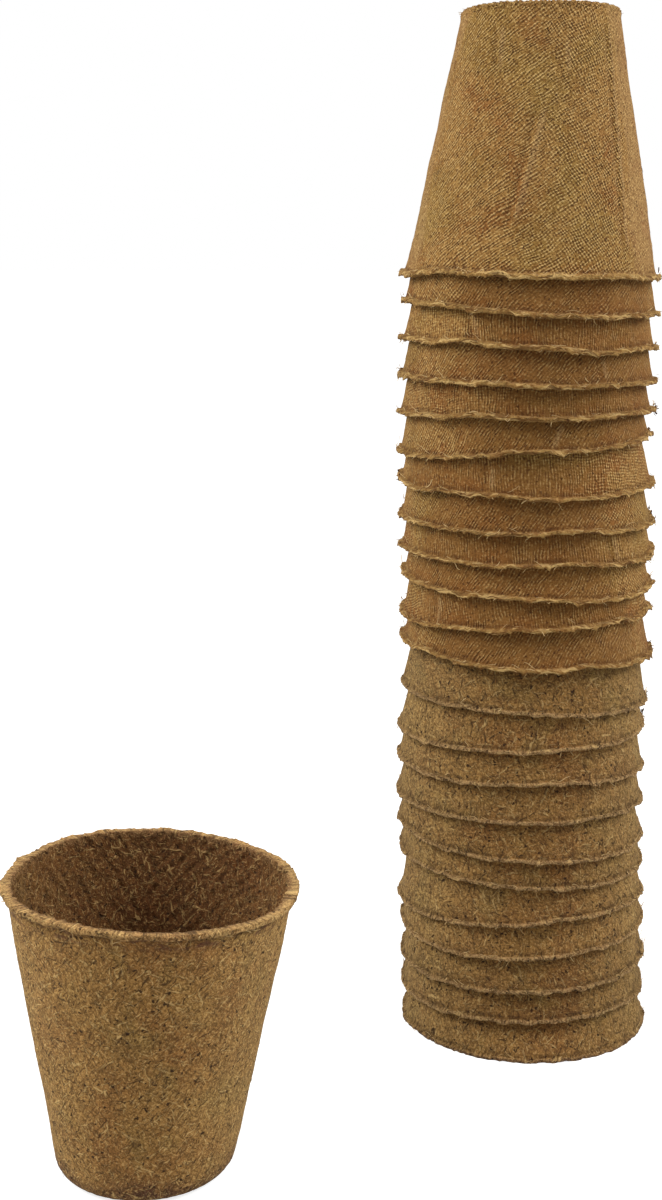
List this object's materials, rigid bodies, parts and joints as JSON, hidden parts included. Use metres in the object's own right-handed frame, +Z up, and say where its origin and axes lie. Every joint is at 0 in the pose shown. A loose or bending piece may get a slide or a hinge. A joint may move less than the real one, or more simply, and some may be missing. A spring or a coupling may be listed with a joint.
{
  "type": "set of peat pots",
  "caption": "Nested stack of small round tapered plant pots of pressed fibre, mouths down, with one more pot standing mouth up beside it; every pot lifts off.",
  "frame": {"origin": "on the floor at the bottom centre of the set's box, midway between the stack and the standing pot", "axes": "+Z up along every pot's axis; +Y away from the viewer of the picture; +X to the right, so the stack is on the +X +Y side and the standing pot on the -X -Y side"},
  "size_m": [0.1422, 0.134, 0.2378],
  "materials": {
    "coarse_fibre": "matte, grainy pressed fibre with dark specks and pale stray fibres",
    "woven_fibre": "matte pressed fibre with the fine diagonal imprint of a wire mesh"
  },
  "bodies": {
    "stack_pot_01": {"stack_pot_01": "coarse_fibre"},
    "stack_pot_02": {"stack_pot_02": "coarse_fibre"},
    "stack_pot_03": {"stack_pot_03": "coarse_fibre"},
    "stack_pot_04": {"stack_pot_04": "coarse_fibre"},
    "stack_pot_05": {"stack_pot_05": "coarse_fibre"},
    "stack_pot_06": {"stack_pot_06": "coarse_fibre"},
    "stack_pot_07": {"stack_pot_07": "coarse_fibre"},
    "stack_pot_08": {"stack_pot_08": "coarse_fibre"},
    "stack_pot_09": {"stack_pot_09": "coarse_fibre"},
    "stack_pot_10": {"stack_pot_10": "coarse_fibre"},
    "stack_pot_11": {"stack_pot_11": "coarse_fibre"},
    "stack_pot_12": {"stack_pot_12": "woven_fibre"},
    "stack_pot_13": {"stack_pot_13": "woven_fibre"},
    "stack_pot_14": {"stack_pot_14": "woven_fibre"},
    "stack_pot_15": {"stack_pot_15": "woven_fibre"},
    "stack_pot_16": {"stack_pot_16": "woven_fibre"},
    "stack_pot_17": {"stack_pot_17": "woven_fibre"},
    "stack_pot_18": {"stack_pot_18": "woven_fibre"},
    "stack_pot_19": {"stack_pot_19": "woven_fibre"},
    "stack_pot_20": {"stack_pot_20": "woven_fibre"},
    "stack_pot_21": {"stack_pot_21": "woven_fibre"},
    "stack_pot_22": {"stack_pot_22": "woven_fibre"},
    "stack_pot_23": {"stack_pot_23": "woven_fibre"},
    "standing_pot": {"standing_pot": "coarse_fibre"}
  },
  "joints": [
    {"name": "stack_pot_02_lift", "type": "slide", "parent": "stack_pot_01", "child": "stack_pot_02", "axis": [0, 0, 1], "range_m": [0, 0.057]},
    {"name": "stack_pot_03_lift", "type": "slide", "parent": "stack_pot_02", "child": "stack_pot_03", "axis": [0, 0, 1], "range_m": [0, 0.057]},
    {"name": "stack_pot_04_lift", "type": "slide", "parent": "stack_pot_03", "child": "stack_pot_04", "axis": [0, 0, 1], "range_m": [0, 0.057]},
    {"name": "stack_pot_05_lift", "type": "slide", "parent": "stack_pot_04", "child": "stack_pot_05", "axis": [0, 0, 1], "range_m": [0, 0.057]},
    {"name": "stack_pot_06_lift", "type": "slide", "parent": "stack_pot_05", "child": "stack_pot_06", "axis": [0, 0, 1], "range_m": [0, 0.057]},
    {"name": "stack_pot_07_lift", "type": "slide", "parent": "stack_pot_06", "child": "stack_pot_07", "axis": [0, 0, 1], "range_m": [0, 0.057]},
    {"name": "stack_pot_08_lift", "type": "slide", "parent": "stack_pot_07", "child": "stack_pot_08", "axis": [0, 0, 1], "range_m": [0, 0.057]},
    {"name": "stack_pot_09_lift", "type": "slide", "parent": "stack_pot_08", "child": "stack_pot_09", "axis": [0, 0, 1], "range_m": [0, 0.057]},
    {"name": "stack_pot_10_lift", "type": "slide", "parent": "stack_pot_09", "child": "stack_pot_10", "axis": [0, 0, 1], "range_m": [0, 0.057]},
    {"name": "stack_pot_11_lift", "type": "slide", "parent": "stack_pot_10", "child": "stack_pot_11", "axis": [0, 0, 1], "range_m": [0, 0.057]},
    {"name": "stack_pot_12_lift", "type": "slide", "parent": "stack_pot_11", "child": "stack_pot_12", "axis": [0, 0, 1], "range_m": [0, 0.0542]},
    {"name": "stack_pot_13_lift", "type": "slide", "parent": "stack_pot_12", "child": "stack_pot_13", "axis": [0, 0, 1], "range_m": [0, 0.0571]},
    {"name": "stack_pot_14_lift", "type": "slide", "parent": "stack_pot_13", "child": "stack_pot_14", "axis": [0, 0, 1], "range_m": [0, 0.0571]},
    {"name": "stack_pot_15_lift", "type": "slide", "parent": "stack_pot_14", "child": "stack_pot_15", "axis": [0, 0, 1], "range_m": [0, 0.0571]},
    {"name": "stack_pot_16_lift", "type": "slide", "parent": "stack_pot_15", "child": "stack_pot_16", "axis": [0, 0, 1], "range_m": [0, 0.0571]},
    {"name": "stack_pot_17_lift", "type": "slide", "parent": "stack_pot_16", "child": "stack_pot_17", "axis": [0, 0, 1], "range_m": [0, 0.0571]},
    {"name": "stack_pot_18_lift", "type": "slide", "parent": "stack_pot_17", "child": "stack_pot_18", "axis": [0, 0, 1], "range_m": [0, 0.0571]},
    {"name": "stack_pot_19_lift", "type": "slide", "parent": "stack_pot_18", "child": "stack_pot_19", "axis": [0, 0, 1], "range_m": [0, 0.0571]},
    {"name": "stack_pot_20_lift", "type": "slide", "parent": "stack_pot_19", "child": "stack_pot_20", "axis": [0, 0, 1], "range_m": [0, 0.0571]},
    {"name": "stack_pot_21_lift", "type": "slide", "parent": "stack_pot_20", "child": "stack_pot_21", "axis": [0, 0, 1], "range_m": [0, 0.0571]},
    {"name": "stack_pot_22_lift", "type": "slide", "parent": "stack_pot_21", "child": "stack_pot_22", "axis": [0, 0, 1], "range_m": [0, 0.0571]},
    {"name": "stack_pot_23_lift", "type": "slide", "parent": "stack_pot_22", "child": "stack_pot_23", "axis": [0, 0, 1], "range_m": [0, 0.0571]},
    {"name": "standing_pot_lift", "type": "slide", "parent": "stack_pot_01", "child": "standing_pot", "axis": [0, 0, 1], "range_m": [0, 0.065]}
  ]
}
